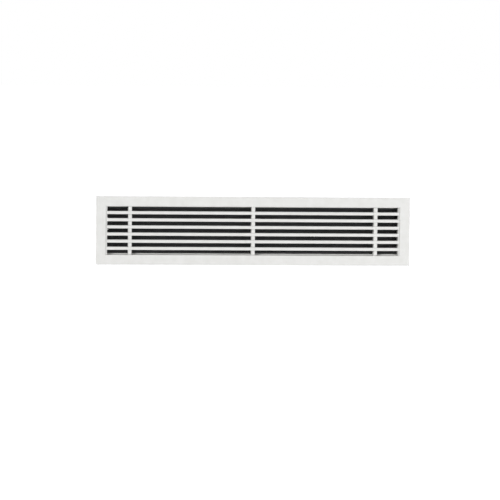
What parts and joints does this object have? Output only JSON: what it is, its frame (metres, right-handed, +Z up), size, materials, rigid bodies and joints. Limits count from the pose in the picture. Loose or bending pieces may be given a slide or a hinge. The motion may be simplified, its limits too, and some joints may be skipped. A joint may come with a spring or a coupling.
{
  "type": "air conditioning grille",
  "caption": "Linear bar grille for a supply air opening: wide mitred flange, fixed horizontal bars on recessed cross bars, spring clips, and a geared opposed-vane damper behind.",
  "frame": {"origin": "centre of the aperture, in the plane of the wall that the flange lies against", "axes": "+X along the bars to the right seen from the room, +Y into the wall, +Z up"},
  "size_m": [0.64, 0.0569, 0.1386],
  "materials": {
    "frame_paint": "satin white powder coat",
    "core_paint": "satin white powder coat",
    "casing_paint": "matt black paint",
    "vane_paint": "matt black paint",
    "lever_paint": "matt black paint",
    "black_nylon": "moulded",
    "key_steel": "zinc plated",
    "clip_steel": "spring temper",
    "screw_steel": "zinc plated",
    "rivet_aluminium": "plain"
  },
  "bodies": {
    "grille": {"frame_top": "frame_paint", "frame_bottom": "frame_paint", "frame_left": "frame_paint", "frame_right": "frame_paint", "corner_key_top_left": "key_steel", "corner_key_top_right": "key_steel", "corner_key_bottom_left": "key_steel", "corner_key_bottom_right": "key_steel", "bar_1": "core_paint", "bar_2": "core_paint", "bar_3": "core_paint", "bar_4": "core_paint", "bar_5": "core_paint", "bar_6": "core_paint", "cross_bar_1": "core_paint", "cross_bar_2": "core_paint", "cross_bar_3": "core_paint", "end_rail_left": "core_paint", "end_rail_right": "core_paint", "spring_clip_top_left": "clip_steel", "spring_clip_top_right": "clip_steel", "spring_clip_bottom_left": "clip_steel", "spring_clip_bottom_right": "clip_steel", "damper_top": "casing_paint", "damper_bottom": "casing_paint", "damper_end_left": "casing_paint", "damper_end_right": "casing_paint", "core_screws": "screw_steel", "damper_screws": "screw_steel", "clip_rivets": "rivet_aluminium", "casing_rivets": "rivet_aluminium"},
    "vane_1": {"damper_vane_1": "vane_paint", "vane_gear_1": "black_nylon", "vane_pivot_1": "black_nylon"},
    "vane_2": {"damper_vane_2": "vane_paint", "vane_gear_2": "black_nylon", "vane_pivot_2": "black_nylon"},
    "vane_3": {"damper_vane_3": "vane_paint", "vane_gear_3": "black_nylon", "vane_pivot_3": "black_nylon", "damper_lever": "lever_paint", "lever_rivets": "rivet_aluminium"},
    "vane_4": {"damper_vane_4": "vane_paint", "vane_gear_4": "black_nylon", "vane_pivot_4": "black_nylon"}
  },
  "joints": [
    {"name": "vane_1_hinge", "type": "hinge", "parent": "grille", "child": "vane_1", "pos_m": [0, 0.0359, 0.03491], "axis": [1, 0, 0], "range_deg": [0, 90]},
    {"name": "vane_2_hinge", "type": "hinge", "parent": "grille", "child": "vane_2", "pos_m": [0, 0.0359, 0.01164], "axis": [1, 0, 0], "range_deg": [-90, 0]},
    {"name": "vane_3_hinge", "type": "hinge", "parent": "grille", "child": "vane_3", "pos_m": [0, 0.0359, -0.01164], "axis": [1, 0, 0], "range_deg": [0, 90]},
    {"name": "vane_4_hinge", "type": "hinge", "parent": "grille", "child": "vane_4", "pos_m": [0, 0.0359, -0.03491], "axis": [1, 0, 0], "range_deg": [-90, 0]}
  ],
  "couplings": [
    {"joint": "vane_1_hinge", "follows": "vane_3_hinge", "ratio": 1},
    {"joint": "vane_2_hinge", "follows": "vane_3_hinge", "ratio": -1},
    {"joint": "vane_4_hinge", "follows": "vane_3_hinge", "ratio": -1}
  ]
}
